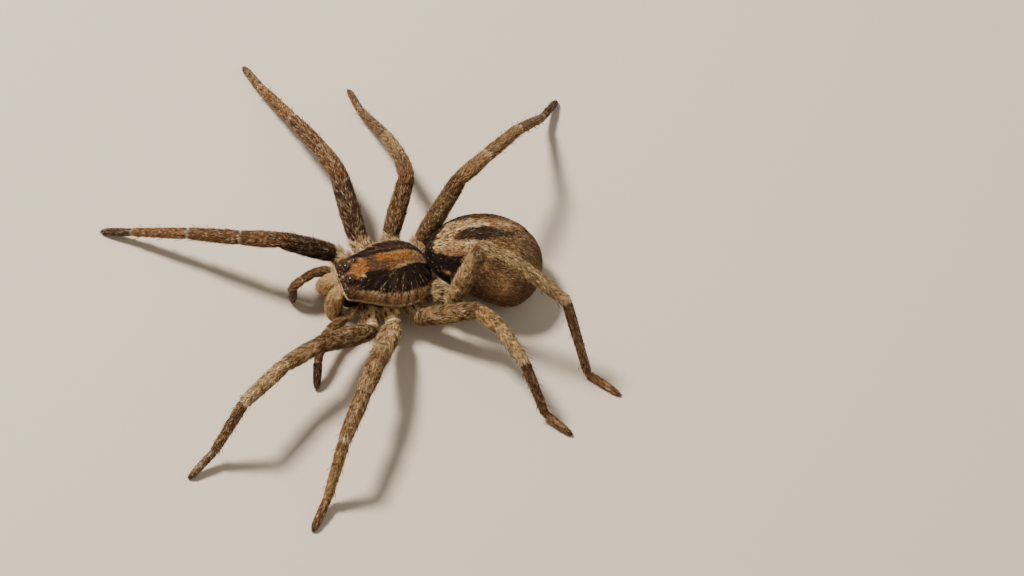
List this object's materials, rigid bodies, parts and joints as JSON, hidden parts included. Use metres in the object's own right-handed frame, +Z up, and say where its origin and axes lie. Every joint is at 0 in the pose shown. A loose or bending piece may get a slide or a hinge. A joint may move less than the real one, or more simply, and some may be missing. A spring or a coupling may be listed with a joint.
{
  "type": "wolf spider",
  "caption": "Life-size hairy wolf spider standing alert on spread legs, carapace with a pale midline, big rear eyes and a patterned egg-shaped abdomen swung to its left.",
  "frame": {"origin": "on the floor, under the middle of the box round the whole spider", "axes": "+Z up; the head looks along -Y; the spider's left side is towards +X"},
  "size_m": [0.057, 0.0518, 0.0137],
  "materials": {
    "carapace": "short flat hair over dark cuticle, dark brown flanks, orange midline, cream margin",
    "underside": "short dark hair, paler straw hair on the leg bases",
    "abdomen": "short velvety hair, brown with a dark leaf-shaped mark and cream flecks",
    "leg": "short hair and fine spines, tan to dark brown in soft bands",
    "foot": "dense dark hair with two small claws",
    "chelicera": "golden tan bristly hair",
    "fang": "polished black-brown horn",
    "palp": "short brown hair, darker to the tip",
    "eye": "glassy black lens"
  },
  "bodies": {
    "root": {"carapace": "carapace", "underside": "underside", "pedicel": "underside", "abdomen": "abdomen", "spinnerets": "abdomen", "chelicera_left": "chelicera", "fang_left": "fang", "palp_left": "palp", "eye_anterior_median_left": "eye", "eye_anterior_lateral_left": "eye", "eye_posterior_median_left": "eye", "eye_posterior_lateral_left": "eye", "leg_left_1_femur": "leg", "leg_left_1_patella": "leg", "leg_left_1_tibia": "leg", "leg_left_1_metatarsus": "leg", "leg_left_1_tarsus": "foot", "leg_left_2_femur": "leg", "leg_left_2_patella": "leg", "leg_left_2_tibia": "leg", "leg_left_2_metatarsus": "leg", "leg_left_2_tarsus": "foot", "leg_left_3_femur": "leg", "leg_left_3_patella": "leg", "leg_left_3_tibia": "leg", "leg_left_3_metatarsus": "leg", "leg_left_3_tarsus": "foot", "leg_left_4_femur": "leg", "leg_left_4_patella": "leg", "leg_left_4_tibia": "leg", "leg_left_4_metatarsus": "leg", "leg_left_4_tarsus": "foot", "chelicera_right": "chelicera", "fang_right": "fang", "palp_right": "palp", "eye_anterior_median_right": "eye", "eye_anterior_lateral_right": "eye", "eye_posterior_median_right": "eye", "eye_posterior_lateral_right": "eye", "leg_right_1_femur": "leg", "leg_right_1_patella": "leg", "leg_right_1_tibia": "leg", "leg_right_1_metatarsus": "leg", "leg_right_1_tarsus": "foot", "leg_right_2_femur": "leg", "leg_right_2_patella": "leg", "leg_right_2_tibia": "leg", "leg_right_2_metatarsus": "leg", "leg_right_2_tarsus": "foot", "leg_right_3_femur": "leg", "leg_right_3_patella": "leg", "leg_right_3_tibia": "leg", "leg_right_3_metatarsus": "leg", "leg_right_3_tarsus": "foot", "leg_right_4_femur": "leg", "leg_right_4_patella": "leg", "leg_right_4_tibia": "leg", "leg_right_4_metatarsus": "leg", "leg_right_4_tarsus": "foot"}
  },
  "joints": []
}
